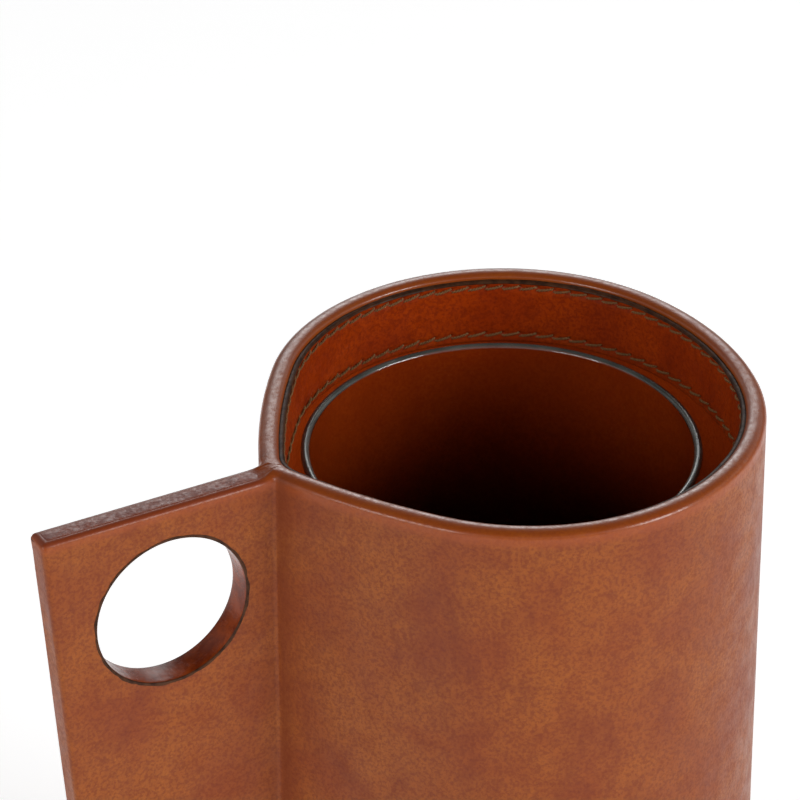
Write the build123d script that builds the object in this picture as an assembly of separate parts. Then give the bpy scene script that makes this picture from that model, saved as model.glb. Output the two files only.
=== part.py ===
"""Leather-covered carafe or vase with a fin handle and a lift-out glass liner.

Millimetres, +Z up. The origin is on the liner's axis, at the underside of the base leather.
The handle points along -X, and the object is symmetric about the XZ plane.
"""
from build123d import *
from math import acos, atan2, cos, degrees, pi, radians, sin, sqrt
import os

# Body, as a teardrop of tangent arcs: a blunt nose at +X, a shoulder and a long flank on each side
HEIGHT = 220.0             # floor to the top of the rim
NOSE_X = 63.9              # axis to the nose
NOSE_R, NOSE_SWEEP = 77.0, 17.1
SHOULDER_R, SHOULDER_SWEEP = 59.1, 124.5
FLANK_R = 186.0
TIP_R = 9.0                # rounding of each inner wall behind the handle

# Wall, counted inwards from the outer face
COVER = 1.8                # outer leather
CORE = 2.4                 # stiff core
LINING = 0.8               # inner leather
BAND = 1.2                 # stitched facing under the rim
EDGE_R = 1.2               # rounding of the rim's outer edge and of the handle's top edges
INNER_EDGE_R = 1.0         # rounding of the rim's inner edge

# Handle, a flat fin that narrows downwards
HANDLE_T = 7.6             # over both leather faces
HANDLE_DROP = 1.3          # rim top to the handle's top
HANDLE_END = 127.5         # axis to the outer edge, at the top
HANDLE_FOOT = 110.5        # axis to the outer edge, at the floor
HANDLE_EDGE_R = 1.4        # rounding of the outer edge
STRIP_T = 1.4              # leather strip along the handle's top
STRIP_SIDE = 1.7           # cover left showing on each side of that strip
HOLE_X, HOLE_DROP = -93.8, 30.4    # hole's axis, from the liner's axis and from the rim top
HOLE_R = 20.0              # clear radius of the finger hole
HOLE_LINING = 1.2
ROOT_LAP = 1.0             # handle's root, run into the body it joins
ROOT_GAP = 0.5             # handle core, short of the corner between the flanks

# Rim band and its two rows of stitching
BAND_DROP = 1.6            # rim top to the band's painted top edge
BAND_H = 17.8
UPPER_ROW, LOWER_ROW = 3.3, 17.2   # rim top to each row
STITCH_PITCH = 4.4
STITCH_L, STITCH_W, STITCH_T = 3.9, 0.75, 0.45
STITCH_SLANT = 11.0        # degrees
STITCH_GAP = 0.10          # keeps each straight stitch off the curved band

# Base
SOLE = 2.0                 # base leather, which the object stands on
SOLE_INSET = 0.8
BOARD = 6.0                # base board, inside the core
PAD = 2.0                  # felt pad under the liner
FIT = 0.15                 # glue gap round the board and the pad

CUT_PAST = 1.0             # how far a cut runs past the face it opens
NEAR = 1.0                 # margin when an edge is picked by its place
LEVEL_TOLERANCE = 1e-3

# Glass liner
GLASS_R = 50.0
GLASS_WALL = 2.2
GLASS_FLOOR = 6.0
GLASS_DROP = 13.6          # rim top to the liner's rim
GLASS_FOOT_R = 3.0
GLASS_LIP_R = 0.5

RIM = COVER + CORE + LINING          # the turned rim covers the core and the lining
BAND_FACE = RIM + BAND
CORE_TOP = HEIGHT - COVER
HANDLE_TOP = HEIGHT - HANDLE_DROP
FLOOR_TOP = SOLE + BOARD + PAD


def turn(start, heading, radius, sweep):
    """End point and heading of a left-turning arc, with the arc's middle point."""
    centre = (start[0] - radius * sin(heading), start[1] + radius * cos(heading))

    def at(angle):
        return centre[0] + radius * sin(angle), centre[1] - radius * cos(angle)

    return at(heading + sweep / 2), at(heading + sweep), heading + sweep, centre


def half_outline(inset, end_y):
    """Arcs of one side of the teardrop, from the nose to where the flank reaches end_y."""
    nose = (NOSE_X - inset, 0.0)
    mid_1, end_1, heading, _ = turn(nose, pi / 2, NOSE_R - inset, radians(NOSE_SWEEP))
    mid_2, end_2, heading, _ = turn(end_1, heading, SHOULDER_R - inset, radians(SHOULDER_SWEEP))
    flank = FLANK_R - inset
    centre_y = end_2[1] + flank * cos(heading)
    sweep = 2 * pi - acos((centre_y - end_y) / flank) - heading
    mid_3, end_3, _, centre = turn(end_2, heading, flank, sweep)
    return [(nose, mid_1, end_1), (end_1, mid_2, end_2), (end_2, mid_3, end_3)], centre


def mirrored(point):
    return point[0], -point[1]


def closed_face(arcs, closing):
    """Face of the arcs, their mirror images and the closing edges, at z = 0."""
    edges = [ThreePointArc(*arc) for arc in arcs]
    edges += [ThreePointArc(*[mirrored(point) for point in arc]) for arc in arcs]
    return make_face(Wire(edges + closing))


def blunt_teardrop(inset, end_y):
    """Teardrop that stops in a straight edge, 2 end_y wide, at the handle."""
    arcs, _ = half_outline(inset, end_y)
    tip = arcs[-1][2]
    return closed_face(arcs, [Line(tip, mirrored(tip))])


def round_teardrop(inset, tip_r=TIP_R):
    """Teardrop whose tip is an arc tangent to both flanks."""
    _, centre = half_outline(inset, 0.5)
    flank = FLANK_R - inset
    tip_x = centre[0] - sqrt((flank - tip_r) ** 2 - centre[1] ** 2)
    bearing = atan2(-centre[1], tip_x - centre[0])
    touch = (tip_x + tip_r * cos(bearing), tip_r * sin(bearing))
    arcs, _ = half_outline(inset, touch[1])
    tip = arcs[-1][2]
    return closed_face(arcs, [ThreePointArc(tip, (tip_x - tip_r, 0.0), mirrored(tip))])


def block(face, low, high):
    """The face swept from height low to height high."""
    return extrude(Pos(0, 0, low) * face, high - low)


def handle_edge_x(height):
    """X of the handle's outer edge at a height."""
    return -HANDLE_FOOT - (HANDLE_END - HANDLE_FOOT) * height / HEIGHT


def handle_plate(inset, low, high, root_x):
    """Upright plate of the handle, inset on every outer side."""
    half = HANDLE_T / 2 - inset
    profile = [(root_x, low), (handle_edge_x(low) + inset, low),
               (handle_edge_x(high) + inset, high), (root_x, high)]
    face = make_face(Polyline(*[(x, 0, z) for x, z in profile], close=True))
    return extrude(face, half, both=True)


def handle_hole(radius):
    """Cylinder through the handle, on the finger hole's axis."""
    return Pos(HOLE_X, 0, HEIGHT - HOLE_DROP) * Rot(90, 0, 0) * Cylinder(radius, 4 * HANDLE_T)


def root_x(inset):
    """X where the flank, at this inset, meets the handle's face at the same inset."""
    arcs, _ = half_outline(inset, HANDLE_T / 2 - inset)
    return arcs[-1][2][0]


def whole_outline(inset, low, body_top, handle_top):
    """Body and handle together, solid, at one inset."""
    body = block(blunt_teardrop(inset, HANDLE_T / 2 - inset), low, body_top)
    return body + handle_plate(inset, low, handle_top, root_x(inset) + ROOT_LAP)


def level_faces(shape, height):
    """The shape's upward faces at a height."""
    return [face for face in shape.faces().filter_by(Axis.Z)
            if abs(face.center().Z - height) < LEVEL_TOLERANCE]


def make_outer_cover():
    """One leather sheet round body and handle, turned over the rim."""
    cover = whole_outline(0.0, SOLE, HEIGHT, HANDLE_TOP)
    upright = [edge for edge in cover.edges().filter_by(GeomType.LINE)
               if edge.center().X < -HANDLE_FOOT - NEAR
               and abs(edge.center().Y) > NEAR
               and edge.length > HEIGHT / 2]
    cover = fillet(upright, HANDLE_EDGE_R)
    rim_edges = level_faces(cover, HEIGHT)[0].outer_wire().edges()
    cover = fillet(rim_edges, EDGE_R)
    handle_edges = [edge for edge in level_faces(cover, HANDLE_TOP)[0].edges()
                    if edge.center().X < root_x(0.0) - NEAR]
    cover = fillet(handle_edges, EDGE_R)
    cover -= block(round_teardrop(RIM), SOLE - CUT_PAST, HEIGHT + CUT_PAST)
    cover = fillet(level_faces(cover, HEIGHT)[0].inner_wires()[0].edges(), INNER_EDGE_R)
    cover -= block(round_teardrop(COVER), SOLE - CUT_PAST, CORE_TOP)
    cover -= handle_plate(COVER, SOLE - CUT_PAST, HANDLE_TOP - STRIP_T, root_x(COVER) - ROOT_GAP)
    cover -= strip_space()
    return cover - handle_hole(HOLE_R + HOLE_LINING)


def strip_space():
    """Groove in the handle's top that takes the leather strip."""
    half = HANDLE_T / 2 - STRIP_SIDE
    length = HANDLE_END - HANDLE_EDGE_R + root_x(0.0)
    centre_x = root_x(0.0) - length / 2
    return Pos(centre_x, 0, HANDLE_TOP - STRIP_T / 2) * Box(length, 2 * half, STRIP_T)


def make_handle_core():
    core = handle_plate(COVER, SOLE, HANDLE_TOP - STRIP_T, root_x(COVER) - ROOT_GAP)
    core -= block(round_teardrop(COVER), SOLE - CUT_PAST, HEIGHT)
    return core - handle_hole(HOLE_R + HOLE_LINING)


def make_hole_lining():
    ring = handle_hole(HOLE_R + HOLE_LINING) - handle_hole(HOLE_R)
    slab = Pos(HOLE_X, 0, HEIGHT - HOLE_DROP) * Box(4 * HOLE_R, HANDLE_T, 4 * HOLE_R)
    return ring & slab


def ring_wall(outer, inner, low, high):
    """Upright wall between two insets."""
    wall = block(round_teardrop(outer), low, high)
    return wall - block(round_teardrop(inner), low - CUT_PAST, high + CUT_PAST)


def make_body_core():
    return ring_wall(COVER, COVER + CORE, SOLE, CORE_TOP)


def make_inner_lining():
    return ring_wall(COVER + CORE, RIM, SOLE + BOARD, CORE_TOP)


def make_rim_band():
    top = HEIGHT - BAND_DROP
    return ring_wall(RIM, BAND_FACE, top - BAND_H, top)


def make_stitching(drop):
    """A row of slanted stitches on the band's inner face."""
    outline = round_teardrop(BAND_FACE + STITCH_GAP + STITCH_T / 2).face().outer_wire()
    count = round(outline.length / STITCH_PITCH)
    hollow = block(round_teardrop(BAND_FACE + STITCH_GAP / 2), HEIGHT - 2 * drop, HEIGHT)
    stitches = []
    for index in range(count):
        place = outline.position_at((index + 0.5) / count)
        along = outline.tangent_at((index + 0.5) / count)
        bearing = degrees(atan2(along.Y, along.X))
        bar = Box(STITCH_L, STITCH_T, STITCH_W)
        bar = fillet(bar.edges().filter_by(Axis.Z), STITCH_T / 3)
        lean = Rot(0, 0, bearing) * Rot(0, -STITCH_SLANT, 0)
        stitch = Pos(place.X, place.Y, HEIGHT - drop) * lean * bar
        stitches.append((stitch & hollow).solid())
    return Compound(stitches)


def make_base_board():
    return block(round_teardrop(COVER + CORE + FIT), SOLE, SOLE + BOARD)


def make_floor_pad():
    return block(round_teardrop(RIM + FIT), SOLE + BOARD, FLOOR_TOP)


def make_base_leather():
    return whole_outline(SOLE_INSET, 0.0, SOLE, SOLE)


def make_glass_liner():
    """Straight-sided tumbler with a thick floor, turned about Z."""
    height = HEIGHT - GLASS_DROP - FLOOR_TOP
    outside = Pos(0, 0, FLOOR_TOP + height / 2) * Cylinder(GLASS_R, height)
    outside = fillet(outside.edges().sort_by(Axis.Z)[0], GLASS_FOOT_R)
    inner_r = GLASS_R - GLASS_WALL
    inside = Cylinder(inner_r, height)
    inside = fillet(inside.edges().sort_by(Axis.Z)[0], GLASS_FOOT_R)
    liner = outside - Pos(0, 0, FLOOR_TOP + GLASS_FLOOR + height / 2) * inside
    lip = liner.edges().filter_by(GeomType.CIRCLE).group_by(Axis.Z)[-1]
    return fillet(lip, GLASS_LIP_R)


PARTS = {
    "outer_cover": make_outer_cover(),
    "body_core": make_body_core(),
    "handle_core": make_handle_core(),
    "handle_top_strip": strip_space(),
    "hole_lining": make_hole_lining(),
    "inner_lining": make_inner_lining(),
    "rim_band": make_rim_band(),
    "upper_stitching": make_stitching(UPPER_ROW),
    "lower_stitching": make_stitching(LOWER_ROW),
    "base_board": make_base_board(),
    "base_leather": make_base_leather(),
    "floor_pad": make_floor_pad(),
    "glass_liner": make_glass_liner(),
}

os.makedirs("parts", exist_ok=True)
for name, shape in PARTS.items():
    export_step(shape, f"parts/{name}.step")
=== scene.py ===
"""Looks of a leather-covered vase with a fin handle and a lift-out glass liner.

Shapes are worked out in millimetres and turned into metres as each mesh is made.
"""

import math

import bmesh
import bpy
import numpy as np
from mathutils import Matrix, Vector, noise


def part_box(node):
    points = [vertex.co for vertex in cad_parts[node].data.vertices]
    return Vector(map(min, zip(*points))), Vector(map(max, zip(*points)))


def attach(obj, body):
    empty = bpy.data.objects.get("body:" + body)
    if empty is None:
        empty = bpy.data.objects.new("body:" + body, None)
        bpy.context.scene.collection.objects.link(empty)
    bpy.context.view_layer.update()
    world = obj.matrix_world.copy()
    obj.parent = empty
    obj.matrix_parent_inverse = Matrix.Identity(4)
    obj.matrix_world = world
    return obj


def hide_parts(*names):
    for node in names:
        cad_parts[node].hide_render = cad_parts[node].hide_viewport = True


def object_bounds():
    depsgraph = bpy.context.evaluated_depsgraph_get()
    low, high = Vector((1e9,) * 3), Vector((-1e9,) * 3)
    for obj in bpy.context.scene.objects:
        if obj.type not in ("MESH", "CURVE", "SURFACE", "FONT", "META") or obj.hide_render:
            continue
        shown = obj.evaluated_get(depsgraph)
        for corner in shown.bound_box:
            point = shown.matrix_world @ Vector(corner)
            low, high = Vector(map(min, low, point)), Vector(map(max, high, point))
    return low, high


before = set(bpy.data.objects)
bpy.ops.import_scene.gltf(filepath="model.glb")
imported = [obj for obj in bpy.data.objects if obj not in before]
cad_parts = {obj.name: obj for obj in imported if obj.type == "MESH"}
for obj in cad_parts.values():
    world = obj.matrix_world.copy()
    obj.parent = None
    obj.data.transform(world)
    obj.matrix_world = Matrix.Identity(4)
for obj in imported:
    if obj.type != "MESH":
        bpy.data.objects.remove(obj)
cad_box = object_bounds()

MM = 0.001
TAU = 2 * math.pi
MERGE = 0.002              # mm within which corners become one
SHARP = 40.0               # degrees between faces above which an edge is drawn sharp

# Body, as a teardrop of tangent arcs: nose, shoulder, long flank, small tip behind the handle
NOSE_R = 77.0
SHOULDER_R = 59.1
FLANK_R = 186.0
TIP_R = 9.0
NOSE_END = math.radians(90.0 + 17.1)
SHOULDER_END = NOSE_END + math.radians(124.5)

# Levels and edges, read from the frame
HEIGHT = cad_box[1].z / MM
NOSE_X = cad_box[1].x / MM
HANDLE_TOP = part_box("handle_top_strip")[1].z / MM
HANDLE_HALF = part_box("hole_lining")[1].y / MM
COVER_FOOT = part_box("outer_cover")[0].z / MM
BAND_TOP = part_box("rim_band")[1].z / MM
BAND_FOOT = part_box("rim_band")[0].z / MM
LINING_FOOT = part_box("inner_lining")[0].z / MM
LINING_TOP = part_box("inner_lining")[1].z / MM
GLASS_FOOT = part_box("glass_liner")[0].z / MM
GLASS_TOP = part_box("glass_liner")[1].z / MM
GLASS_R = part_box("glass_liner")[1].x / MM

# Wall, as insets from the outer face
COVER = 1.8
LINING_BACK = 4.2
RIM = 5.0
BAND_FACE = 6.2

# Handle
HANDLE_END = 127.5         # axis to the outer edge at the rim's height
HANDLE_FOOT = 110.5        # and at the floor
HANDLE_CORNER = 1.4        # rounding of the outer edge
CREASE_R = 1.1             # leather's bend where the handle meets the body
CREASE_X = -67.4
HOLE_X = -93.8
HOLE_Z = HEIGHT - 30.4
HOLE_R = 20.0

ROWS = (HEIGHT - 3.3, HEIGHT - 17.2)
STITCHES = 82


# ---------------------------------------------------------------- outline

def facing(heading):
    """Outward normal of a left-turning outline at its heading."""
    return np.stack([np.sin(heading), -np.cos(heading)], axis=-1)


NOSE_C = np.array([NOSE_X - NOSE_R, 0.0])
SHOULDER_C = NOSE_C + (NOSE_R - SHOULDER_R) * facing(NOSE_END)
FLANK_C = SHOULDER_C + (SHOULDER_R - FLANK_R) * facing(SHOULDER_END)


def tip_of(inset):
    """Centre of the tip's arc, and the heading where the flank meets it."""
    reach = FLANK_R - inset - TIP_R
    centre = np.array([FLANK_C[0] - math.sqrt(reach ** 2 - FLANK_C[1] ** 2), 0.0])
    away = centre - FLANK_C
    return centre, math.atan2(away[0], -away[1]) % TAU


def onward(start, end, count):
    """Evenly spaced values after a start, up to and with an end."""
    return np.linspace(start, end, count + 1)[1:]


def ring(count):
    """Evenly spaced headings once round, from 0."""
    return np.linspace(0, TAU, count + 1)[:-1]


def unit(vectors):
    """Rows of vectors at length one."""
    return vectors / np.linalg.norm(vectors, axis=1)[:, None]


def at_height(plan, height):
    """Plan points raised to one height."""
    return np.column_stack([plan, np.full(len(plan), height)])


def along_arcs(arcs):
    """Points and normals along arcs given as (centre, radius, headings)."""
    points = np.concatenate([centre + radius * facing(turns) for centre, radius, turns in arcs])
    normals = np.concatenate([facing(turns) for _, _, turns in arcs])
    return points, normals


def closed_loop(points, normals):
    """Adds the mirror image to one side's points, from the nose to the tip and back."""
    flip = np.array([1.0, -1.0])
    points = np.concatenate([points, (points * flip)[-2:0:-1]])
    return points, np.concatenate([normals, (normals * flip)[-2:0:-1]])


def track(inset, count):
    """Evenly spaced points and normals round the inside of the wall, and the way's length."""
    tip, touch = tip_of(inset)
    fine = 400
    arcs = [(NOSE_C, NOSE_R - inset, np.linspace(math.pi / 2, NOSE_END, fine)),
            (SHOULDER_C, SHOULDER_R - inset, onward(NOSE_END, SHOULDER_END, fine - 1)),
            (FLANK_C, FLANK_R - inset, onward(SHOULDER_END, touch, fine - 1)),
            (tip, TIP_R, onward(touch, 1.5 * math.pi, fine - 1))]
    points, normals = closed_loop(*along_arcs(arcs))
    points = np.concatenate([points, points[:1]])
    normals = np.concatenate([normals, normals[:1]])
    steps = np.linalg.norm(np.diff(points, axis=0), axis=1)
    walked = np.concatenate([[0.0], np.cumsum(steps)])
    stops = np.arange(count) / count * walked[-1]
    even = [np.interp(stops, walked, values) for values in (*points.T, *normals.T)]
    return np.stack(even[:2], axis=1), unit(np.stack(even[2:], axis=1)), walked[-1]


def smooth(value):
    """Smooth step from 0 to 1."""
    value = np.clip(value, 0.0, 1.0)
    return value * value * (3 - 2 * value)


def ripple(points, size, seed):
    """Smooth noise from -1 to 1 at points in mm, with features of about that size."""
    offset = Vector((seed * 17.3, seed * 5.1, seed * 9.7))
    flat = np.asarray(points).reshape(-1, 3)
    values = [noise.noise(Vector(point) / size + offset) for point in flat]
    return np.array(values).reshape(np.asarray(points).shape[:-1])


# ---------------------------------------------------------------- meshes

def mesh_of(name, build):
    """Turns a bmesh in mm into a mesh in metres."""
    bmesh.ops.remove_doubles(build, verts=build.verts, dist=MERGE)
    bmesh.ops.recalc_face_normals(build, faces=build.faces)
    bmesh.ops.scale(build, vec=(MM, MM, MM), verts=build.verts)
    mesh = bpy.data.meshes.new(name)
    build.to_mesh(mesh)
    build.free()
    return mesh


def shade_round(mesh, sharp=SHARP):
    """Shades a mesh smooth, except across edges sharper than an angle in degrees."""
    mesh.shade_smooth()
    mesh.set_sharp_from_angle(angle=math.radians(sharp))


def place_in_scene(name, data):
    """Puts a mesh, light or camera in the scene as an object."""
    placed = bpy.data.objects.new(name, data)
    bpy.context.scene.collection.objects.link(placed)
    return placed


def new_piece(name, build, material, body, stands_for=(), sharp=SHARP):
    """Turns a bmesh in mm into a named piece that rides on a body."""
    mesh = mesh_of(name, build)
    shade_round(mesh, sharp)
    shown = place_in_scene(name, mesh)
    mesh.materials.append(material)
    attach(shown, body)
    if stands_for:
        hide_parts(*stands_for)
    return shown


def add_grid(build, rows, wrap=False, close=False):
    """Adds quads over rows of points; wrap joins each row's ends, close joins the last row to the first."""
    verts = [[build.verts.new(point) for point in row] for row in np.asarray(rows)]
    count = len(verts[0])
    row_pairs = zip(verts, verts[1:] + verts[:1] if close else verts[1:])
    for low, high in row_pairs:
        for i in range(count if wrap else count - 1):
            j = (i + 1) % count
            build.faces.new((low[i], low[j], high[j], high[i]))


def add_caps(build, rows):
    """Closes both ends of a tube given as rows of points along it."""
    for end in (0, -1):
        build.faces.new([build.verts.new(row[end]) for row in rows])


def sweep(path, normals, section):
    """Rows of points for a section of (outward offset, height) pairs carried round a path."""
    rows = []
    for offset, height in section:
        plan = path + normals * np.asarray(offset).reshape(-1, 1)
        rows.append(np.column_stack([plan, np.broadcast_to(height, len(plan))]))
    return np.array(rows)


def quarter(steps, power=2.0):
    """Quarter of a superellipse as (run, drop) shares, from its side (0, 1) to its top (1, 0)."""
    angle = np.linspace(0.0, math.pi / 2, steps + 1)
    return 1 - np.cos(angle) ** (2 / power), 1 - np.sin(angle) ** (2 / power)


def drop_at(distance, run, depth, power):
    """How far a rounded edge lies below its top at a distance in from the edge."""
    share = np.clip((run - distance) / run, 0.0, 1.0)
    return depth * (1 - (1 - share ** power) ** (1 / power))


# ---------------------------------------------------------------- outer cover

EDGE_POWER = 2.15                      # 2 is a circle's arc, and more is squarer
OUTER_RUN, OUTER_DROP = 2.9, 1.9       # rim's outer rounding, up to its crown
INNER_RUN, INNER_DROP = RIM - OUTER_RUN, 1.2
STRIP_HALF = 2.1                       # half width of the strip let into the handle's top
HANDLE_RUN, HANDLE_ROUND = HANDLE_HALF - STRIP_HALF, 1.7
GROOVE = 0.06                          # depth of the bed that the strip lies in
GROOVE_START = -68.2                   # X where it begins
STEP_START, STEP_RUN = -64.3, 4.2      # where the rim comes down to the handle's top
NOSE_COLUMNS, SHOULDER_COLUMNS, FLANK_COLUMNS = 18, 70, 70
BEND_COLUMNS, FACE_COLUMNS, END_COLUMNS = 8, 40, 3
EVEN_SHARE = 0.35                      # how evenly the flank's columns lie; the rest close up to the crease
LEAN_RUN = 9.0                         # stretch of the handle whose rows lean towards the body
OUTER_ROWS, INNER_ROWS, WALL_ROWS = 10, 8, 61
FOOT_ROUND = 0.5


def handle_edge(height):
    """X of the handle's outer edge at a height."""
    return -HANDLE_FOOT - (HANDLE_END - HANDLE_FOOT) * height / HEIGHT


def cover_side():
    """Columns of the cover's +Y side: outer points, normals, inner targets at the rim and at the foot.

    The last value is the number of columns on the body, before those on the handle.
    """
    bend_y = HANDLE_HALF + CREASE_R
    bend_x = FLANK_C[0] - math.sqrt((FLANK_R + CREASE_R) ** 2 - (bend_y - FLANK_C[1]) ** 2)
    bend = np.array([bend_x, bend_y])
    away = bend - FLANK_C
    leave = math.atan2(away[0], -away[1]) % TAU
    share = onward(0, 1, FLANK_COLUMNS)
    share = EVEN_SHARE * share + (1 - EVEN_SHARE) * (1 - (1 - share) ** 2)
    nose = np.linspace(math.pi / 2, NOSE_END, NOSE_COLUMNS + 1)
    shoulder = onward(NOSE_END, SHOULDER_END, SHOULDER_COLUMNS)
    flank = SHOULDER_END + (leave - SHOULDER_END) * share
    turn = onward(leave, math.pi, BEND_COLUMNS)
    body, body_n = along_arcs([(NOSE_C, NOSE_R, nose), (SHOULDER_C, SHOULDER_R, shoulder),
                               (FLANK_C, FLANK_R, flank), (bend, -CREASE_R, turn)])
    body_n[-len(turn):] = facing(turn)

    def wall(inset):
        """Points opposite the body's columns on the inside of the wall."""
        tip, touch = tip_of(inset)
        inner_flank = SHOULDER_END + (touch - SHOULDER_END) * share
        around = onward(touch, 1.5 * math.pi, BEND_COLUMNS)
        return along_arcs([(NOSE_C, NOSE_R - inset, nose), (SHOULDER_C, SHOULDER_R - inset, shoulder),
                           (FLANK_C, FLANK_R - inset, inner_flank), (tip, TIP_R, around)])[0]

    end_x = handle_edge(HANDLE_TOP)
    face_x = onward(bend_x, end_x + HANDLE_CORNER, FACE_COLUMNS)
    face = np.column_stack([face_x, np.full(len(face_x), HANDLE_HALF)])
    face_n = np.tile([0.0, 1.0], (len(face), 1))
    corner_c = np.array([end_x + HANDLE_CORNER, HANDLE_HALF - HANDLE_CORNER])
    corner_h = onward(math.pi, 1.5 * math.pi, BEND_COLUMNS)
    corner, corner_n = along_arcs([(corner_c, HANDLE_CORNER, corner_h)])
    last_y = onward(corner[-1, 1], 0.0, END_COLUMNS)
    last = np.column_stack([np.full(END_COLUMNS, end_x), last_y])
    last_n = np.tile([-1.0, 0.0], (END_COLUMNS, 1))
    fin = np.concatenate([face, corner, last])
    fin_n = np.concatenate([face_n, corner_n, last_n])

    def middle(start):
        """Targets on the handle's middle line, leaning towards the body near the crease."""
        lean = (start - bend_x) * (1 - smooth((bend_x - fin[:, 0]) / LEAN_RUN))
        line_x = np.maximum(fin[:, 0] + lean, end_x + HANDLE_HALF)
        return np.column_stack([line_x, np.zeros(len(fin))])

    rim, foot = wall(RIM), wall(COVER)
    return (np.concatenate([body, fin]), np.concatenate([body_n, fin_n]),
            np.concatenate([rim, middle(rim[-1, 0])]), np.concatenate([foot, middle(foot[-1, 0])]),
            len(body))


def rim_level(x):
    """Top of the rim, stepping down to the handle's top behind the tip."""
    return HEIGHT - (HEIGHT - HANDLE_TOP) * smooth((STEP_START - x) / STEP_RUN)


def top_rows(outer, normals, targets, on_body):
    """Rows over the rim and the handle's top, from the wall to the inner edge or the middle line."""
    run, _ = quarter(OUTER_ROWS, EDGE_POWER)
    inner_run, _ = quarter(INNER_ROWS, EDGE_POWER)
    reach = np.where(on_body, RIM, HANDLE_HALF)
    first = np.where(on_body, OUTER_RUN, HANDLE_RUN)
    tip, _ = tip_of(RIM)
    rows = []
    for i in range(len(run) + len(inner_run) - 1):
        if i < len(run):
            inset = run[i] * first
        else:
            inset = reach - (reach - first) * inner_run[len(run) + len(inner_run) - 2 - i]
        share = smooth(inset / reach)[:, None]
        straight = outer - normals * inset[:, None]
        aimed = outer + (targets - outer) * (inset / reach)[:, None]
        plan = straight * (1 - share) + aimed * share
        height = rim_level(plan[:, 0])
        height -= np.where(on_body, drop_at(inset, OUTER_RUN, OUTER_DROP, EDGE_POWER),
                           drop_at(inset, HANDLE_RUN, HANDLE_ROUND, EDGE_POWER))
        to_tip = np.linalg.norm(plan - tip, axis=1) - TIP_R
        to_void = np.where(on_body, RIM - inset, to_tip)
        height -= drop_at(to_void, INNER_RUN, INNER_DROP, EDGE_POWER)
        in_groove = smooth((inset - HANDLE_RUN) / 0.25) * smooth((GROOVE_START - plan[:, 0]) / 0.5)
        height -= np.where(on_body, 0.0, GROOVE * in_groove)
        rows.append(np.column_stack([plan, height]))
    return rows


def tapered(points, height, root):
    """Plan points with the handle's part drawn in to its width at a height."""
    scale = (handle_edge(height) - root) / (handle_edge(HANDLE_TOP) - root)
    x = np.where(points[:, 0] < root, root + (points[:, 0] - root) * scale, points[:, 0])
    return np.column_stack([x, points[:, 1]])


def wall_waves(rows, normals, crease):
    """Slow hand-stretched waves in the walls, and soft upright folds beside the crease."""
    rows = np.array(rows)
    swell = 0.08 * ripple(rows, 34.0, 1) + 0.02 * ripple(rows, 13.0, 2)
    stretched = rows * [1.0, 1.0, 0.11]
    folds = 0.16 * ripple(stretched, 2.6, 3) * np.exp(-crease / 4.0)
    fade = smooth((HEIGHT - rows[..., 2]) / 14.0)
    rows[..., :2] += normals * ((swell + folds) * fade)[..., None]
    return rows


def cover_rows(side):
    """All rows of one side's outer surface, from the foot's inner edge up and over the top."""
    outer, normals, rim, foot, on_body_count = side
    on_body = np.arange(len(outer)) < on_body_count
    root = outer[on_body_count - 1, 0]
    top = top_rows(outer, normals, rim, on_body)
    edge_z = top[0][:, 2]
    crease_point = outer[on_body_count - 4]
    crease = np.linalg.norm(outer - crease_point, axis=1)
    heights = np.concatenate([[0.0, 0.05], np.linspace(0.1, 1.0, WALL_ROWS + 1)[:-1]])
    walls = []
    for share in heights:
        z = COVER_FOOT + FOOT_ROUND + (edge_z - COVER_FOOT - FOOT_ROUND) * share
        walls.append(np.column_stack([tapered(outer, z, root), z]))
    walls = list(wall_waves(walls, normals, crease))
    foot_rows = [at_height(tapered(foot, COVER_FOOT, root), COVER_FOOT)]
    foot_plan = tapered(outer, COVER_FOOT, root)
    for inset, lift in ((FOOT_ROUND, 0.0), (0.15, 0.15)):
        foot_rows.append(at_height(foot_plan - normals * inset, COVER_FOOT + lift))
    return np.array(foot_rows + walls + top)


def mirrored(rows):
    """The same rows on the -Y side."""
    return rows * [1.0, -1.0, 1.0]


def make_cover(material):
    """Leather over the body, the rim and the handle, open inside and under the foot."""
    side = cover_side()
    _, _, rim, foot, body_count = side
    rows = cover_rows(side)
    build = bmesh.new()
    add_grid(build, rows)
    add_grid(build, mirrored(rows))
    inner = [rows[-1][:body_count]]
    for plan, height in ((rim, LINING_TOP), (foot, LINING_TOP), (foot, HEIGHT / 2), (foot, COVER_FOOT)):
        inner.append(at_height(plan[:body_count], height))
    add_grid(build, inner)
    add_grid(build, mirrored(np.array(inner)))
    cover = new_piece("cover_skin", build, material, "shell", ["outer_cover"])
    cut_finger_hole(cover)
    return cover


HOLE_STEPS = 128
TRIM_STEPS = 192


def round_the_hole(radius, depth, turns):
    """Points round the finger hole's axis, at a radius and a depth along Y."""
    return np.column_stack([HOLE_X + radius * np.cos(turns), np.full(len(turns), depth),
                            HOLE_Z + radius * np.sin(turns)])


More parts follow.
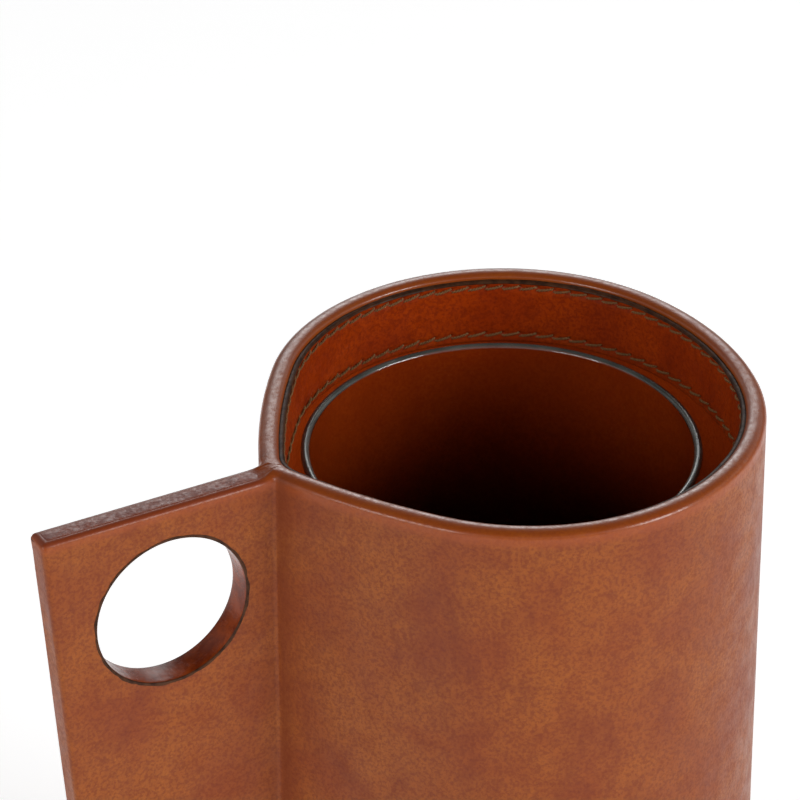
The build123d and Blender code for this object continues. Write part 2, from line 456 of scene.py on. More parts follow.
def cut_finger_hole(cover):
    """Cuts the hole through the handle, with its edges eased."""
    build = bmesh.new()
    section = [(HOLE_R + 1.2, 7.0), (HOLE_R + 0.34, 3.95), (HOLE_R + 0.26, 3.3), (HOLE_R + 0.22, 0.0),
               (HOLE_R + 0.26, -3.3), (HOLE_R + 0.34, -3.95), (HOLE_R + 1.2, -7.0)]
    rows = [round_the_hole(radius, depth, ring(HOLE_STEPS)) for radius, depth in section]
    add_grid(build, rows, wrap=True)
    for row in (rows[0], rows[-1]):
        build.faces.new([build.verts.new(point) for point in row])
    cutter = place_in_scene("hole_cutter", mesh_of("hole_cutter", build))
    cut = cover.modifiers.new("finger_hole", "BOOLEAN")
    cut.operation = "DIFFERENCE"
    cut.solver = "EXACT"
    cut.object = cutter
    bpy.context.view_layer.update()
    evaluated = cover.evaluated_get(bpy.context.evaluated_depsgraph_get())
    result = bpy.data.meshes.new_from_object(evaluated)
    cover.modifiers.clear()
    cover.data = result
    shade_round(result)
    bpy.data.objects.remove(cutter)


# ---------------------------------------------------------------- handle trim

def make_handle_strip(material):
    """Crowned leather strip let into the handle's top."""
    start, end = -68.3, handle_edge(HANDLE_TOP) + 2.2
    gap, sunk, crown, ease, thick = 0.04, 0.08, 0.14, 1.6, 1.3
    x = np.linspace(start, end, 90)
    build = bmesh.new()
    rows = []
    for share in np.linspace(-1, 1, 17):
        across = (STRIP_HALF - gap) * math.sin(share * math.pi / 2)
        ends = np.minimum(smooth((start - x) / ease), smooth((x - end) / ease))
        z = HANDLE_TOP - sunk + crown * (1 - abs(share) ** 3) - GROOVE * (1 - ends)
        rows.append(np.column_stack([x, np.full(len(x), across), z]))
    rows = np.array(rows)
    rows[..., 2] += 0.06 * ripple(rows, 6.0, 6) + 0.04 * ripple(rows, 2.2, 7)
    floor = rows.copy()
    floor[..., 2] = HANDLE_TOP - thick
    add_grid(build, rows)
    add_grid(build, floor)
    for edge_a, edge_b in ((rows[0], floor[0]), (rows[-1], floor[-1]), (rows[:, 0], floor[:, 0]),
                           (rows[:, -1], floor[:, -1])):
        add_grid(build, [edge_a, edge_b])
    return new_piece("handle_top_strip_crowned", build, material, "shell",
                     ["handle_top_strip"])


def make_hole_trim(material, paint):
    """Painted lining of the finger hole, with a hand-painted line on both faces."""
    turns = ring(TRIM_STEPS)
    around = np.column_stack([np.cos(turns), np.sin(turns) * 0, np.sin(turns)]) * 30.0
    wobble = 0.34 * ripple(around, 5.5, 8) + 0.14 * ripple(around, 1.8, 9)
    face, far_side, painted = HANDLE_HALF + 0.10, 0.8, 3.66
    section = []
    for flare, back in ((0.0, 0.0), (0.02, 1.6), (0.07, 2.6), (0.10, 3.2), (0.16, 3.6), (0.24, 3.8),
                        (0.34, face), (0.46, face + 0.01)):
        section.append((HOLE_R + flare, back, 0.0))
    section += [(HOLE_R + 0.92, face - 0.02, 1.0), (HOLE_R + 1.00, face - 0.30, 1.0)]
    rows = []
    for radius, back, ragged in [(r, -y, w) for r, y, w in section[:0:-1]] + section:
        worn = ragged * wobble * (1.0 if back < 0 else far_side)
        rows.append(round_the_hole(radius + worn, back, turns))
    build = bmesh.new()
    add_grid(build, rows, wrap=True, close=True)
    trim = new_piece("hole_trim", build, material, "shell", ["hole_lining"], sharp=60)
    trim.data.materials.append(paint)
    for polygon in trim.data.polygons:
        if abs(polygon.center.y) > painted * MM:
            polygon.material_index = 1
    return trim


def end_face_x(y, z):
    """X of the handle's end at a height, with its rounded upright edges."""
    beyond = max(0.0, abs(y) - (HANDLE_HALF - HANDLE_CORNER))
    return handle_edge(z) + HANDLE_CORNER - math.sqrt(max(0.0, HANDLE_CORNER ** 2 - beyond ** 2))


def make_end_seam(material):
    """Dark painted seam where the top leather is folded over the handle's end."""
    steps, from_y, span, below_top, fall = 40, 3.45, 7.0, 1.3, 0.6
    centre, out = [], []
    for share in np.linspace(0, 1, steps):
        y = from_y - span * share
        z = HANDLE_TOP - below_top - fall * share
        centre.append((end_face_x(y, z), y, z))
        out.append((-1.0, 0.35 * y / HANDLE_HALF, 0.0))
    centre, out = np.array(centre), np.array(out)
    out = unit(out)
    across = np.cross(unit(np.gradient(centre, axis=0)), out)
    width = 0.27 + 0.10 * ripple(centre, 1.3, 11)
    width *= smooth(np.minimum(np.linspace(0, 12, steps), np.linspace(12, 0, steps)) + 0.25)
    rows = []
    for turn in ring(10):
        rows.append(centre + across * (width * math.cos(turn))[:, None] + out * (0.10 * math.sin(turn)))
    build = bmesh.new()
    add_grid(build, rows, close=True)
    add_caps(build, rows)
    return new_piece("handle_end_seam", build, material, "shell")


# ---------------------------------------------------------------- rim band and stitching

COLUMNS_PER_STITCH = 10
STITCH_RISE = 0.80
PUCKER, PUCKER_REACH = 0.20, 0.75      # how far stitching draws the leather in, and over what height
PIT, PIT_HEIGHT, PIT_WIDTH = 0.85, 0.42, 0.10


def stitch_phase(count):
    """Position within its stitch of each of the evenly spaced columns, from 0 to 1."""
    return (np.arange(count) / COLUMNS_PER_STITCH) % 1.0


def make_rim_band(material):
    """Leather facing with a rounded top, pulled in along both rows of stitching."""
    count = STITCHES * COLUMNS_PER_STITCH
    path, normals, _ = track(BAND_FACE, count)
    phase = stitch_phase(count)
    near_hole = np.minimum(phase, 1 - phase)
    thick = BAND_FACE - RIM
    run, drop = quarter(7, 2.2)
    section = [(thick - 0.02, BAND_TOP - 1.4), (thick - 0.02, BAND_TOP - 0.25)]
    section += [(share_out * 0.62 * thick, BAND_TOP - share_drop * 0.85)
                for share_out, share_drop in zip(run[::-1], drop[::-1])]
    section += [(0.0, z) for z in np.linspace(BAND_TOP - 1.0, BAND_FOOT + 0.5, 62)]
    section += [(0.12, BAND_FOOT + 0.12), (0.45, BAND_FOOT), (thick, BAND_FOOT + 0.05)]
    rows = sweep(path, normals, section)
    pull = np.zeros(rows.shape[:2])
    for level in ROWS:
        row_z = level + STITCH_RISE * (phase - 0.5)
        below = rows[..., 2] - row_z[None, :]
        pull += PUCKER * np.exp(-(below / PUCKER_REACH) ** 2)
        pit = np.exp(-((rows[..., 2] - level - STITCH_RISE / 2) / PIT_HEIGHT) ** 2)
        pull += PIT * pit * np.exp(-(near_hole[None, :] / PIT_WIDTH) ** 2)
    pull += 0.05 * ripple(rows, 9.0, 12)
    facing_in = np.array([offset < 0.5 for offset, _ in section])
    rows[..., :2] += normals[None] * (pull * facing_in[:, None])[..., None]
    build = bmesh.new()
    add_grid(build, rows, wrap=True, close=True)
    return new_piece("rim_band_stitched", build, material, "shell", ["rim_band"],
                     sharp=70)


def make_rim_paint(material):
    """Glossy bead of edge paint between the turned rim and the band."""
    path, normals, _ = track(BAND_FACE, 420)
    centre_out, half_width, half_height, sunk = BAND_FACE - RIM - 0.52, 0.86, 0.50, 0.20
    level = at_height(path, BAND_TOP)
    swell = 1 + 0.16 * ripple(level, 6.0, 14) + 0.10 * ripple(level, 2.2, 15)
    rows = []
    for turn in ring(12):
        offset = centre_out + half_width * swell * math.cos(turn)
        height = BAND_TOP - sunk + half_height * swell * math.sin(turn)
        rows.append(np.column_stack([path + normals * offset[:, None], height]))
    build = bmesh.new()
    add_grid(build, rows, wrap=True, close=True)
    return new_piece("rim_edge_paint", build, material, "shell")


def make_stitch_row(name, level, material, stands_for):
    """Two-ply twisted thread, dipping into the band at each hole."""
    fine, ply_r, twist_r, twist_length, slant = 24, 0.22, 0.18, 1.55, 1.25
    proud, sink, squareness, uneven = 0.10, 0.95, 0.34, 0.08
    path, normals, length = track(BAND_FACE, STITCHES * fine)
    pitch = length / STITCHES
    build = bmesh.new()
    share = np.linspace(0.01, 0.99, 21)
    for index in range(STITCHES):
        at = (index + share) * fine
        low = np.floor(at).astype(int) % len(path)
        high = (low + 1) % len(path)
        mix = (at - np.floor(at))[:, None]
        plan = path[low] * (1 - mix) + path[high] * mix
        out = normals[low] * (1 - mix) + normals[high] * mix
        dive = 1 - np.sin(share * math.pi) ** squareness
        inward = proud - sink * dive
        height = level - STITCH_RISE * (share - 0.5) * slant
        jitter = uneven * noise.noise(Vector((index * 1.7, level, 3.0)))
        centre = np.column_stack([plan - out * inward[:, None], height + jitter])
        along = unit(np.gradient(centre, axis=0))
        side = unit(np.cross(along, at_height(-out, 0.0)))
        lift = np.cross(side, along)
        spin = share * pitch / twist_length * TAU + index * 0.9
        for ply in (0.0, math.pi):
            mid = centre + twist_r * (side * np.cos(spin + ply)[:, None]
                                      + lift * np.sin(spin + ply)[:, None])
            rows = [mid + ply_r * (side * math.cos(turn) + lift * math.sin(turn)) for turn in ring(7)]
            add_grid(build, rows, close=True)
            add_caps(build, rows)
    return new_piece(name, build, material, "shell", stands_for, sharp=80)


# ---------------------------------------------------------------- lining, base and liner

def make_lining(material):
    """Smooth leather lining of the inside wall."""
    path, normals, _ = track(RIM, 300)
    shown_rows = 40
    section = [(0.0, z) for z in np.linspace(LINING_TOP - 1.0, LINING_FOOT, shown_rows)]
    section += [(RIM - LINING_BACK, LINING_FOOT), (RIM - LINING_BACK, LINING_TOP), (0.1, LINING_TOP)]
    rows = sweep(path, normals, section)
    wave = 0.10 * ripple(rows[:shown_rows], 26.0, 18)
    rows[:shown_rows, :, :2] += normals[None] * (0.08 + wave)[..., None]
    build = bmesh.new()
    add_grid(build, rows, wrap=True, close=True)
    return new_piece("lining_skin", build, material, "shell", ["inner_lining"])


def make_sole(material):
    """Base leather with a rounded, burnished edge."""
    outer, normals, _, _, body_count = cover_side()
    root = outer[body_count - 1, 0]
    top = COVER_FOOT
    rows = []
    for inset, z in ((1.5, 0.0), (1.02, 0.08), (0.82, 0.35), (0.74, 0.9), (0.78, 1.4), (0.95, 1.82),
                     (1.5, top)):
        rows.append(at_height(tapered(outer, z, root) - normals * inset, z))
    fan = 3.0                  # how far in from each end the columns meet
    for index, z in ((0, 0.0), (-1, top)):
        edge = rows[index]
        x, y = edge[:, 0], edge[:, 1]
        middle = np.clip(x, x.min() + fan, x.max() - fan)
        inner = [np.column_stack([middle + (x - middle) * share, y * share, np.full(len(x), z)])
                 for share in (0.66, 0.33, 0.0)]
        rows = inner[::-1] + rows if index == 0 else rows + inner
    rows = np.array(rows)
    build = bmesh.new()
    add_grid(build, rows)
    add_grid(build, mirrored(rows))
    return new_piece("sole_leather", build, material, "shell", ["base_leather"])


def make_glass(material):
    """Turned glass liner with a ground rim and a thick floor."""
    wall, floor, foot_r, bowl_r, lip_r = 2.2, 6.0, 3.0, 7.0, 1.05
    inner = GLASS_R - wall
    bowl = GLASS_FOOT + floor
    lip = GLASS_TOP - lip_r
    low = np.linspace(-math.pi / 2, 0, 9)
    high = np.linspace(0, math.pi / 2, 7)
    middle = (GLASS_FOOT + 70, GLASS_FOOT + 140)

    def bend(centre_r, centre_z, radius, headings):
        """Arc of the section as (radius, height) pairs; a negative radius turns it inward."""
        return [(centre_r + radius * math.cos(t), centre_z + abs(radius) * math.sin(t)) for t in headings]

    section = [(0.0, GLASS_FOOT + 0.5), (30.0, GLASS_FOOT + 0.35), (42.0, GLASS_FOOT + 0.05)]
    section += bend(GLASS_R - foot_r, GLASS_FOOT + foot_r, foot_r, low)
    section += [(GLASS_R, z) for z in (GLASS_FOOT + foot_r + 0.4, *middle, lip - 0.3)]
    section += bend(GLASS_R - lip_r, lip, lip_r, high)
    section += bend(inner + lip_r, lip, -lip_r, high[::-1])
    section += [(inner, z) for z in (lip - 0.3, *middle[::-1], bowl + bowl_r + 0.4)]
    section += bend(inner - bowl_r, bowl + bowl_r, bowl_r, low[::-1])
    section += [(24.0, bowl - 0.25), (0.0, bowl - 0.4)]
    turns = ring(192)
    rows = [at_height(np.column_stack([r * np.cos(turns), r * np.sin(turns)]), z) for r, z in section]
    build = bmesh.new()
    add_grid(build, rows, wrap=True)
    return new_piece("glass_liner_turned", build, material, "liner", ["glass_liner"],
                     sharp=80)


# ---------------------------------------------------------------- materials

class Nodes:
    """A node tree, with short calls for the nodes used here."""

    def __init__(self, tree):
        self.tree = tree
        tree.nodes.clear()

    def add(self, kind, inputs=None, **settings):
        """Adds a node; an input is a value, or a socket to link."""
        node = self.tree.nodes.new("ShaderNode" + kind)
        for key, value in settings.items():
            setattr(node, key, value)
        for key, value in (inputs or {}).items():
            if isinstance(value, bpy.types.NodeSocket):
                self.tree.links.new(value, node.inputs[key])
            else:
                node.inputs[key].default_value = value
        return node

    def spread(self, value, low, high, to_low=0.0, to_high=1.0):
        """Smooth map of low..high to to_low..to_high."""
        return self.add("MapRange", {"Value": value, "From Min": low, "From Max": high, "To Min": to_low,
                                     "To Max": to_high}, interpolation_type="SMOOTHSTEP").outputs["Result"]

    def math(self, operation, first, second):
        """Value of a Math node with two inputs."""
        return self.add("Math", {0: first, 1: second}, operation=operation).outputs[0]


class Surface(Nodes):
    """A material's nodes, placed by the object's own coordinates in mm."""

    def __init__(self, name):
        self.material = bpy.data.materials.new(name)
        self.material.use_nodes = True
        super().__init__(self.material.node_tree)
        self.output = self.add("OutputMaterial")
        place = self.add("TexCoord").outputs["Object"]
        self.place = self.add("VectorMath", {0: place, "Scale": 1 / MM}, operation="SCALE").outputs[0]

    def noise(self, size, detail=3.0, rough=0.55, warp=0.0, stretch=None):
        """Noise from 0 to 1 with features of about a size in mm; stretch lengthens it along an axis."""
        place = self.place
        if stretch:
            place = self.add("VectorMath", {0: place, 1: stretch}, operation="DIVIDE").outputs[0]
        return self.add("TexNoise", {"Vector": place, "Scale": 1 / size, "Detail": detail,
                                     "Roughness": rough, "Distortion": warp}).outputs["Fac"]

    def pebbles(self, size, feature="F1"):
        """Distance to the nearest of scattered points that size apart, in shares of it."""
        warp = self.add("TexNoise", {"Vector": self.place, "Scale": 1 / (2 * size), "Detail": 2.0})
        shift = self.add("VectorMath", {0: warp.outputs["Color"], "Scale": size}, operation="SCALE")
        place = self.add("VectorMath", {0: self.place, 1: shift.outputs[0]}, operation="ADD").outputs[0]
        cells = self.add("TexVoronoi", {"Vector": place, "Scale": 1 / size}, feature=feature)
        return cells.outputs["Distance"]

    def mix(self, share, first, second, blend="MIX"):
        """Colour mix of two colours or sockets."""
        node = self.add("Mix", data_type="RGBA", blend_type=blend)
        for socket, value in ((0, share), (6, first), (7, second)):
            if isinstance(value, bpy.types.NodeSocket):
                self.tree.links.new(value, node.inputs[socket])
            else:
                node.inputs[socket].default_value = value if socket == 0 else (*value, 1.0)
        return node.outputs[2]

    def bump(self, height, depth, below=None):
        """Bump of a depth in mm over an earlier one."""
        inputs = {"Height": height, "Distance": depth * MM, "Strength": 1.0}
        if below is not None:
            inputs["Normal"] = below
        return self.add("Bump", inputs).outputs["Normal"]

    def height(self):
        """Height in mm of the shaded point."""
        return self.add("SeparateXYZ", {0: self.place}).outputs["Z"]

    def shade(self, **inputs):
        """Puts a Principled shader with these inputs on the output; names use _ for spaces."""
        values = {}
        for key, value in inputs.items():
            values[key.replace("_", " ")] = (*value, 1.0) if isinstance(value, tuple) else value
        shader = self.add("BsdfPrincipled", values)
        self.tree.links.new(shader.outputs[0], self.output.inputs["Surface"])
        return self.material


# Heights between which each change comes in
BURNISH = (HEIGHT - 5.2, HEIGHT - 2.2)
RIM_WAX = (HEIGHT - 1.6, HEIGHT - 0.5)
HANDLE_BURNISH = (HANDLE_TOP - 1.1, HANDLE_TOP - 0.35)
# heights over which painted shade darkens the lining going down
LINING_PAINTED_SHADE = (HEIGHT - 30.0, HEIGHT - 88.0)
GROUND_LIP = (GLASS_TOP - 0.95, GLASS_TOP - 0.35)
CLEAR_OF_BASE = (100.0, 110.0)
HANDLE_SIDE = (-70.0, -65.5)           # X values between which the handle's colour gives way to the body's


def leather(name, tan, umber, deep, blotch=22.0, grain=0.42, gloss=0.40, uneven=0.08):
    """Hand-dyed leather: slow blotches, dark smudges, fine grain, pores, and wax of uneven gloss."""
    s = Surface(name)
    slow = s.spread(s.noise(blotch, 3.0, 0.5, 0.3), 0.34, 0.68)
    colour = s.mix(slow, tan, umber)
    smudge = s.spread(s.noise(blotch * 0.7, 6.0, 0.66, 0.9, stretch=(1.0, 1.0, 1.6)), 0.50, 0.72)
    colour = s.mix(s.math("MULTIPLY", smudge, 0.60), colour, deep)
    cloud = s.spread(s.noise(3.2, 5.0, 0.7), 0.40, 0.72)
    colour = s.mix(s.math("MULTIPLY", cloud, 0.36), colour, deep)
    fibre = s.spread(s.noise(0.9, 4.0, 0.72), 0.43, 0.60, 0.0, 0.62)
    colour = s.mix(fibre, colour, deep)
    cells = s.pebbles(grain * 2.2)
    rise = s.spread(cells, 0.05, 0.60)
    colour = s.mix(s.math("MULTIPLY", rise, 0.30), colour, umber)
    pore = s.spread(s.pebbles(grain * 9.0), 0.05, 0.02)
    colour = s.mix(s.math("MULTIPLY", pore, 0.35), colour, tuple(0.35 * part for part in deep))
    rough = s.spread(s.noise(blotch / 4, 4.0, 0.6), 0.3, 0.7, gloss - uneven, gloss + uneven)
    rough = s.math("ADD", rough, s.math("MULTIPLY", fibre, 0.10))
    normal = s.bump(s.noise(6.5, 2.0, 0.5), 0.010)
    normal = s.bump(s.noise(1.6, 3.0, 0.6), 0.013, normal)
    normal = s.bump(rise, -0.020, normal)
    normal = s.bump(pore, -0.02, normal)
    return s, colour, rough, normal


def cover_leather():
    """Outer leather: burnished over the rim, with painted shade darkening it in the crease beside the
    handle.
    """
    s, colour, rough, normal = leather("cover_leather", (0.305, 0.084, 0.0105), (0.228, 0.047, 0.0070),
                                       (0.125, 0.018, 0.0065), gloss=0.40)
    turned = s.spread(s.height(), *BURNISH)
    colour = s.mix(s.math("MULTIPLY", turned, 0.60), colour, (0.29, 0.052, 0.004))
    wax = s.math("MULTIPLY", turned, s.spread(s.noise(1.3, 4.0, 0.75), 0.36, 0.62, 0.34, 1.0))
    wax = s.math("MULTIPLY", wax, s.spread(s.height(), *RIM_WAX, 0.30, 1.0))
    split = s.add("SeparateXYZ", {0: s.place})
    on_handle = s.spread(split.outputs["X"], *HANDLE_SIDE, 0.85, 0.0)
    topmost = s.spread(split.outputs["Z"], *HANDLE_BURNISH)
    colour = s.mix(s.math("MULTIPLY", on_handle, topmost), colour, (0.20, 0.034, 0.010))
    along = s.math("ADD", split.outputs["X"], -CREASE_X)
    aside = s.math("ADD", s.math("ABSOLUTE", split.outputs["Y"], 0.0), -HANDLE_HALF - CREASE_R)
    beside = s.math("POWER", s.math("ADD", s.math("POWER", along, 2.0), s.math("POWER", aside, 2.0)), 0.5)
    # Painted shade: darkens the leather in the crease beside the handle, streaked upright; the same mask
    # also roughens it.
    streaks = s.noise(2.0, 4.0, 0.65, stretch=(1.0, 1.0, 9.0))
    crease_shade = s.spread(s.math("ADD", beside, s.math("MULTIPLY", streaks, 5.0)), 2.6, 10.5, 0.85, 0.0)
    crease_shade = s.math("MULTIPLY", crease_shade, s.spread(aside, -1.0, 0.6, 0.0, 1.0))
    colour = s.mix(crease_shade, colour, (0.155, 0.027, 0.003))
    rough = s.math("ADD", rough, s.math("MULTIPLY", crease_shade, 0.35))
    return s.shade(Base_Color=colour, Roughness=rough, Normal=normal, Specular_IOR_Level=0.22,
                   Coat_Weight=wax, Coat_Roughness=0.14)


def edge_leather():
    """Darker leather of the strip and the base, waxed in patches, and tan towards the strip's edges."""
    s, colour, rough, normal = leather("edge_leather", (0.250, 0.041, 0.008), (0.19, 0.028, 0.007),
                                       (0.105, 0.015, 0.006), blotch=7.0, gloss=0.36)
    aside = s.math("ABSOLUTE", s.add("SeparateXYZ", {0: s.place}).outputs["Y"], 0.0)
    edge = s.spread(s.math("ADD", aside, s.noise(2.2, 4.0, 0.6)), 1.30, 2.30)
    high = s.spread(s.height(), *CLEAR_OF_BASE)
    colour = s.mix(s.math("MULTIPLY", s.math("MULTIPLY", edge, high), 0.25), colour, (0.29, 0.056, 0.006))
    wax = s.spread(s.noise(1.5, 4.0, 0.7), 0.44, 0.64, 0.08, 0.62)
    normal = s.bump(s.noise(1.3, 3.0, 0.6), 0.06, normal)
    return s.shade(Base_Color=colour, Roughness=rough, Normal=normal, Specular_IOR_Level=0.22,
                   Coat_Weight=wax, Coat_Roughness=0.20)


def band_leather():
    """Redder, smoother leather of the band inside the mouth."""
    s, colour, rough, normal = leather("band_leather", (0.37, 0.043, 0.0015), (0.28, 0.028, 0.0015),
                                       (0.13, 0.009, 0.001), blotch=12.0, gloss=0.44)
    return s.shade(Base_Color=colour, Roughness=rough, Normal=normal, Specular_IOR_Level=0.10)


def lining_leather():
    """Smooth lining, with painted shade darkening it towards the bottom of the deep inside."""
    s, colour, rough, normal = leather("lining_leather", (0.41, 0.047, 0.002), (0.35, 0.036, 0.002),
                                       (0.24, 0.019, 0.001), blotch=30.0, grain=0.5, gloss=0.50)
    # Painted shade: the lining turns nearly black going down, as the deep inside falls into shade.
    depth = s.spread(s.height(), *LINING_PAINTED_SHADE, 0.0, 0.98)
    colour = s.mix(depth, colour, (0.035, 0.002, 0.0005))
    return s.shade(Base_Color=colour, Roughness=rough, Normal=normal, Specular_IOR_Level=0.07)


def edge_paint():
    """Glossy dark edge paint, brushed on by hand."""
    s = Surface("edge_paint")
    mottle = s.spread(s.noise(2.2, 3.0, 0.6), 0.35, 0.7)
    colour = s.mix(mottle, (0.070, 0.027, 0.012), (0.026, 0.010, 0.005))
    rough = s.spread(s.noise(1.1, 2.0, 0.5), 0.3, 0.7, 0.30, 0.46)
    normal = s.bump(s.noise(1.3, 2.0, 0.5), 0.05)
    return s.shade(Base_Color=colour, Roughness=rough, Normal=normal, Specular_IOR_Level=0.10)


def hole_paint():
    """Red-brown burnished paint that lines the finger hole."""
    s = Surface("hole_paint")
    mottle = s.spread(s.noise(5.0, 4.0, 0.6), 0.35, 0.7)
    colour = s.mix(mottle, (0.25, 0.040, 0.004), (0.12, 0.015, 0.002))
    rough = s.spread(s.noise(2.0, 2.0, 0.5), 0.3, 0.7, 0.18, 0.30)
    normal = s.bump(s.noise(3.2, 2.0, 0.5), 0.10)
    normal = s.bump(s.noise(0.8, 2.0, 0.5, stretch=(1.0, 8.0, 1.0)), 0.02, normal)
    return s.shade(Base_Color=colour, Roughness=rough, Normal=normal, Specular_IOR_Level=0.20)


def thread():
    """Waxed linen thread: fine fibres over the two plies."""
    s = Surface("thread")
    fibre = s.spread(s.noise(0.16, 3.0, 0.7), 0.3, 0.7)
    colour = s.mix(fibre, (0.36, 0.175, 0.066), (0.050, 0.017, 0.006))
    rough = s.spread(s.noise(0.5, 2.0, 0.5), 0.3, 0.7, 0.45, 0.65)
    normal = s.bump(fibre, 0.03)
    return s.shade(Base_Color=colour, Roughness=rough, Normal=normal, Specular_IOR_Level=0.20)


def glass():
    """Clear glass, faintly green in its thickness, that lets light through to the leather behind it."""
    s = Surface("clear_glass")
    smear = s.spread(s.noise(22.0, 3.0, 0.6), 0.45, 0.8, 0.0, 0.03)
    ground = s.spread(s.height(), *GROUND_LIP)
    frost = s.math("MULTIPLY", ground, s.spread(s.noise(9.0, 2.0, 0.5), 0.3, 0.7, 0.10, 0.18))
    ripple_normal = s.bump(s.noise(60.0, 2.0, 0.5), 0.02)
    tint = s.mix(ground, (0.96, 0.985, 0.97), (0.54, 0.56, 0.50))
    rough = s.math("ADD", smear, s.math("MULTIPLY", ground, 0.16))
    clearness = s.math("SUBTRACT", 1.0, frost)
    material = s.shade(Base_Color=tint, Roughness=rough, Normal=ripple_normal, IOR=1.5,
                       Transmission_Weight=clearness)
    body = s.output.inputs["Surface"].links[0].from_socket
    passing = s.add("LightPath").outputs
    through = s.math("MAXIMUM", passing["Is Shadow Ray"], passing["Is Diffuse Ray"])
    clear = s.add("BsdfTransparent", {"Color": (0.90, 0.94, 0.91, 1.0)}).outputs[0]
    both = s.add("MixShader", {0: through, 1: body, 2: clear}).outputs[0]
    s.tree.links.new(both, s.output.inputs["Surface"])
    return material


def felt():
    """Dark felt of the pad under the liner."""
    s = Surface("felt")
    fibre = s.spread(s.noise(0.7, 5.0, 0.75, 0.8), 0.3, 0.7)
    colour = s.mix(fibre, (0.055, 0.030, 0.020), (0.020, 0.012, 0.009))
    normal = s.bump(fibre, 0.3)
    return s.shade(Base_Color=colour, Roughness=0.95, Normal=normal, Sheen_Weight=0.3)


def board(name, light, dark):
    """Pressed fibre board of the cores and the base."""
    s = Surface(name)
    flake = s.spread(s.noise(3.0, 4.0, 0.7, 0.6, stretch=(2.0, 2.0, 1.0)), 0.35, 0.65)
    colour = s.mix(flake, light, dark)
    normal = s.bump(flake, 0.08)
    return s.shade(Base_Color=colour, Roughness=0.8, Normal=normal)


# ---------------------------------------------------------------- stage

FRONT = math.radians(28.8)     # bearing from -Y towards -X that the bright patch lies opposite
FLOOR_GLOW = 0.55
FLOOR_SIZE, FLOOR_DROP = 8.0, 0.0002
SURROUND = 4.0
DIM = 0.16                     # share of the bright patch that the rest of the surround has
PATCH_DEPTH = (0.30, 0.75)     # how far behind the object the patch fades in
PATCH_WIDTH = (0.05, 0.32)     # how far aside it fades out
LOW_FADE = (0.16, 0.42, 0.27)  # lift where it begins to brighten and is bright, and its share below
HIGH_FADE = (0.42, 0.72, 0.05) # lift where it begins to dim and is dim, and its share above
WHITE = (1.0, 1.0, 1.0)
BOX_DISTANCE, BOX_SIDE = 1.9, 0.9


def make_floor():
    """Pale floor with a faint glow of its own, just under the object."""
    bpy.ops.mesh.primitive_plane_add(size=FLOOR_SIZE, location=(0.0, 0.0, -FLOOR_DROP))
    floor = bpy.context.object
    floor.name = "floor"
    s = Surface("floor")
    tint = s.mix(s.noise(900.0, 2.0), (0.92, 0.92, 0.92), (0.95, 0.95, 0.95))
    floor.data.materials.append(s.shade(Base_Color=tint, Roughness=0.9, Emission_Color=WHITE,
                                        Emission_Strength=FLOOR_GLOW))


def make_surround():
    """Dim studio surround with one bright patch behind the object, above the horizon."""
    world = bpy.data.worlds.new("studio")
    world.use_nodes = True
    bpy.context.scene.world = world
    w = Nodes(world.node_tree)
    bearing = w.add("TexCoord").outputs["Generated"]
    lift = w.add("SeparateXYZ", {0: bearing}).outputs["Z"]
    away = (math.sin(FRONT), math.cos(FRONT), 0.0)
    across = (math.cos(FRONT), -math.sin(FRONT), 0.0)
    behind = w.add("VectorMath", {0: bearing, 1: away}, operation="DOT_PRODUCT").outputs["Value"]
    beside = w.add("VectorMath", {0: bearing, 1: across}, operation="DOT_PRODUCT").outputs["Value"]
    aside = w.add("Math", {0: beside}, operation="ABSOLUTE").outputs[0]
    patch = w.math("MULTIPLY", w.spread(behind, *PATCH_DEPTH), w.spread(aside, *PATCH_WIDTH, 1.0, 0.0))
    around = w.math("ADD", w.math("MULTIPLY", patch, 1 - DIM), DIM)
    *rise, share_below = LOW_FADE
    *fall, share_above = HIGH_FADE
    rising = w.math("MULTIPLY", w.spread(lift, *rise, share_below, 1.0),
                    w.spread(lift, *fall, 1.0, share_above))
    level = w.math("MULTIPLY", rising, around)
    shine = w.add("Background", {"Color": (*WHITE, 1.0), "Strength": w.math("MULTIPLY", level, SURROUND)})
    w.add("OutputWorld", {"Surface": shine.outputs[0]})


def mouth():
    """Middle of the mouth, in metres."""
    return Vector((0, 0, HEIGHT * MM))


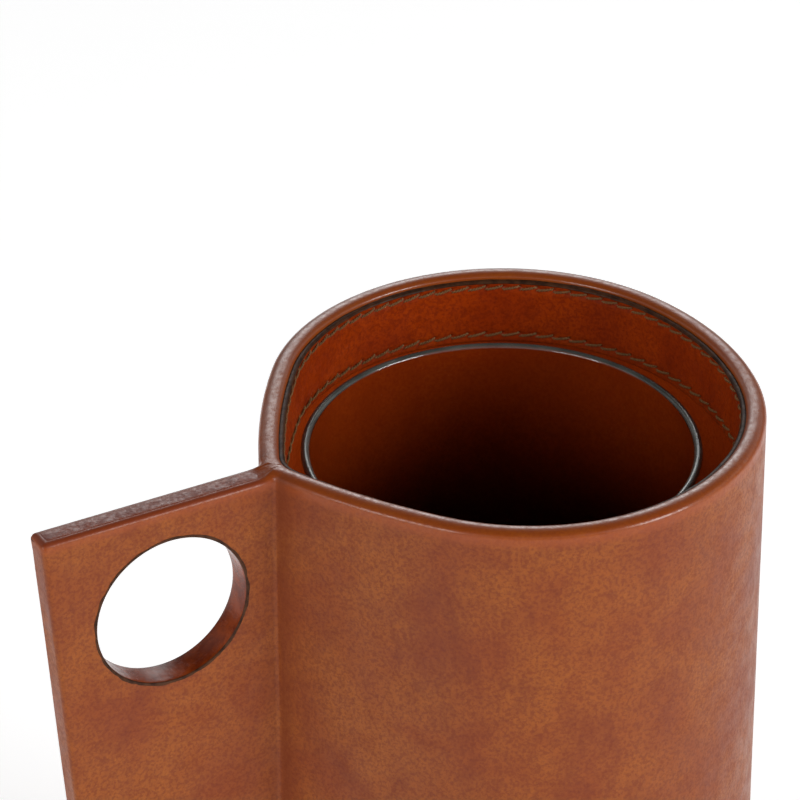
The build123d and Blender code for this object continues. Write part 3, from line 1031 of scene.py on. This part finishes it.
def make_softbox(name, azimuth, elevation, power):
    """Square area light aimed at the rim, placed by its bearing round the object, 0 at -Y."""
    a, e = math.radians(azimuth), math.radians(elevation)
    back = Vector((math.sin(a) * math.cos(e), -math.cos(a) * math.cos(e), math.sin(e)))
    light = bpy.data.lights.new(name, "AREA")
    light.shape = "RECTANGLE"
    light.size = light.size_y = BOX_SIDE
    light.energy = power
    box = place_in_scene(name, light)
    box.location = mouth() + back * BOX_DISTANCE
    box.rotation_mode = "QUATERNION"
    box.rotation_quaternion = (-back).to_track_quat("-Z", "Y")


def make_camera():
    """Camera high in front of the handle's side, aimed left of the rim's centre."""
    azimuth, elevation, roll = (math.radians(angle) for angle in (28.814, 31.62, -0.136))
    distance, aside, below = 1.2351, 0.02523, 0.0005
    right = Vector((math.cos(azimuth), -math.sin(azimuth), 0))
    ahead = Vector((math.sin(azimuth) * math.cos(elevation), math.cos(azimuth) * math.cos(elevation),
                    -math.sin(elevation)))
    up = right.cross(ahead)
    right, up = (math.cos(roll) * right + math.sin(roll) * up,
                 math.cos(roll) * up - math.sin(roll) * right)
    lens = bpy.data.cameras.new("camera")
    lens.lens = 225.0
    lens.sensor_width = 36.0
    lens.clip_start, lens.clip_end = 0.05, 30.0
    camera = place_in_scene("camera", lens)
    camera.location = mouth() - aside * right - below * up - distance * ahead
    camera.rotation_mode = "QUATERNION"
    axes = [[right[i], up[i], -ahead[i]] for i in range(3)]
    camera.rotation_quaternion = Matrix(axes).to_quaternion()
    bpy.context.scene.camera = camera


make_camera()
make_floor()
make_surround()
make_softbox("right_box", 33, 19, 24.5)
make_softbox("left_box", -74, 16, 13.5)
bpy.context.scene.view_settings.view_transform = "Standard"

paint = edge_paint()
strip = edge_leather()
make_cover(cover_leather())
make_handle_strip(strip)
make_hole_trim(hole_paint(), paint)
make_end_seam(paint)
make_rim_band(band_leather())
make_rim_paint(paint)
waxed = thread()
make_stitch_row("upper_stitches", ROWS[0], waxed, ["upper_stitching"])
make_stitch_row("lower_stitches", ROWS[1], waxed, ["lower_stitching"])
make_lining(lining_leather())
make_sole(strip)
make_glass(glass())

core = board("fibre_board", (0.30, 0.20, 0.11), (0.20, 0.12, 0.06))
for node, material in (("body_core", core), ("handle_core", core), ("base_board", core),
                       ("floor_pad", felt())):
    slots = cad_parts[node].data.materials
    slots.clear()
    slots.append(material)
